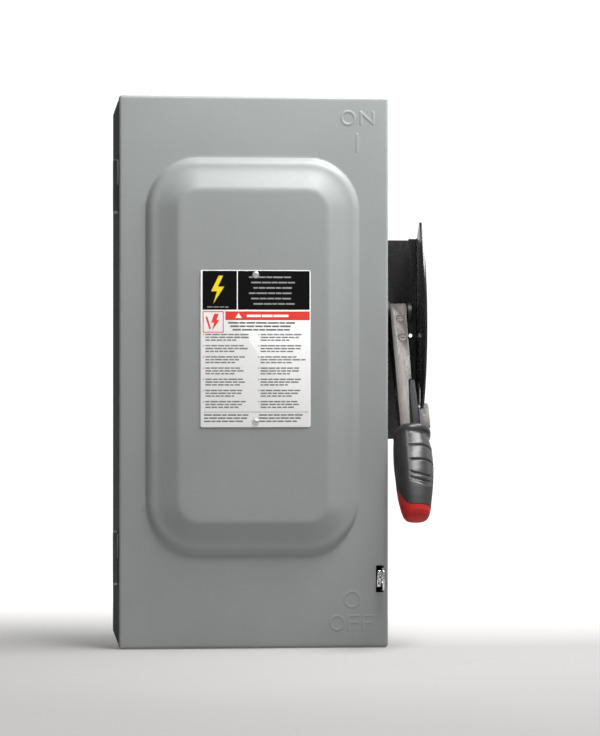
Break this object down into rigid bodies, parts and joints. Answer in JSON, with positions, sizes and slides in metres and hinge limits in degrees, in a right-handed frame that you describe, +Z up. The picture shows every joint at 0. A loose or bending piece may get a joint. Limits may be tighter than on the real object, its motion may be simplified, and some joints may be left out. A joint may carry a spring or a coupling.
{
  "type": "ac disconnect box",
  "caption": "Wall-mounted steel safety switch box with a hinged drawn cover, side operating handle, cover latch and three-pole fusible knife-blade switch inside.",
  "frame": {"origin": "centre of the back face, on the wall plane", "axes": "+Y into the wall, the cover faces -Y, +Z up, +X towards the operating handle"},
  "size_m": [0.2599, 0.1934, 0.4444],
  "materials": {
    "grey_enamel": "semi-gloss grey baked enamel",
    "black_enamel": "semi-gloss black enamel",
    "zinc_steel": "zinc-plated steel",
    "chrome_steel": "bright plated steel",
    "label_print": "printed white film",
    "grip_black": "satin moulded black",
    "grip_red": "satin moulded red",
    "phenolic": "dark moulded phenolic",
    "arc_grey": "grey moulded board",
    "tinned_copper": "tin-plated copper",
    "lug_aluminium": "milled aluminium"
  },
  "bodies": {
    "root": {"enclosure_wrapper": "grey_enamel", "top_end_wall": "grey_enamel", "bottom_end_wall": "grey_enamel", "box_hinge_leaf_upper": "grey_enamel", "box_hinge_leaf_lower": "grey_enamel", "hinge_pin_upper": "zinc_steel", "hinge_pin_lower": "zinc_steel", "latch_staple": "chrome_steel", "handle_bracket": "black_enamel", "bracket_bolt_upper": "zinc_steel", "bracket_bolt_lower": "zinc_steel", "shaft_bushing": "grip_black", "switch_base": "phenolic", "fuse_base": "phenolic", "mechanism_plate": "zinc_steel", "rotor_pin": "zinc_steel", "ground_bar": "lug_aluminium", "line_jaw_1": "tinned_copper", "line_jaw_2": "tinned_copper", "line_jaw_3": "tinned_copper", "arc_chute_1": "arc_grey", "arc_chute_2": "arc_grey", "arc_chute_3": "arc_grey", "line_lug_1": "lug_aluminium", "line_lug_2": "lug_aluminium", "line_lug_3": "lug_aluminium", "blade_hinge_clip_1": "tinned_copper", "blade_hinge_clip_2": "tinned_copper", "blade_hinge_clip_3": "tinned_copper", "upper_fuse_clip_1": "tinned_copper", "upper_fuse_clip_2": "tinned_copper", "upper_fuse_clip_3": "tinned_copper", "lower_fuse_clip_1": "tinned_copper", "lower_fuse_clip_2": "tinned_copper", "lower_fuse_clip_3": "tinned_copper", "load_lug_1": "lug_aluminium", "load_lug_2": "lug_aluminium", "load_lug_3": "lug_aluminium"},
    "cover": {"front_cover": "grey_enamel", "front_label": "label_print", "label_rivet_upper": "lug_aluminium", "label_rivet_lower": "lug_aluminium", "cover_hinge_leaf_upper": "grey_enamel", "cover_hinge_leaf_lower": "grey_enamel", "latch_bracket": "zinc_steel", "latch_pin": "zinc_steel"},
    "latch": {"cover_latch": "chrome_steel"},
    "handle": {"operating_shaft": "zinc_steel", "handle_arm": "zinc_steel", "handle_grip": "grip_black", "grip_end_cap": "grip_red", "drive_crank": "zinc_steel", "drive_spring": "zinc_steel"},
    "lock_plate": {"lock_plate": "zinc_steel"},
    "rotor": {"crossbar": "phenolic", "rotor_arm": "zinc_steel", "knife_blade_1": "tinned_copper", "knife_blade_2": "tinned_copper", "knife_blade_3": "tinned_copper"}
  },
  "joints": [
    {"name": "cover_hinge", "type": "hinge", "parent": "root", "child": "cover", "pos_m": [-0.11, -0.1345, 0], "axis": [0, 0, -1], "range_deg": [0, 110]},
    {"name": "cover_latch_pivot", "type": "hinge", "parent": "cover", "child": "latch", "pos_m": [0.1002, -0.1435, -0.17], "axis": [1, 0, 0], "range_deg": [0, 16], "stiffness_Nm_per_rad": 0.05, "springref_deg": -17.19},
    {"name": "handle_swing", "type": "hinge", "parent": "root", "child": "handle", "pos_m": [0.1277, -0.072, 0.05], "axis": [-1, 0, 0], "range_deg": [0, 110]},
    {"name": "rotor_swing", "type": "hinge", "parent": "root", "child": "rotor", "pos_m": [0, -0.04, 0.04], "axis": [-1, 0, 0], "range_deg": [0, 60]},
    {"name": "lock_plate_slide", "type": "slide", "parent": "handle", "child": "lock_plate", "axis": [0, 0.5736, 0.8192], "range_m": [0, 0.014]}
  ],
  "couplings": [
    {"joint": "rotor_swing", "follows": "handle_swing", "ratio": 0.54}
  ]
}
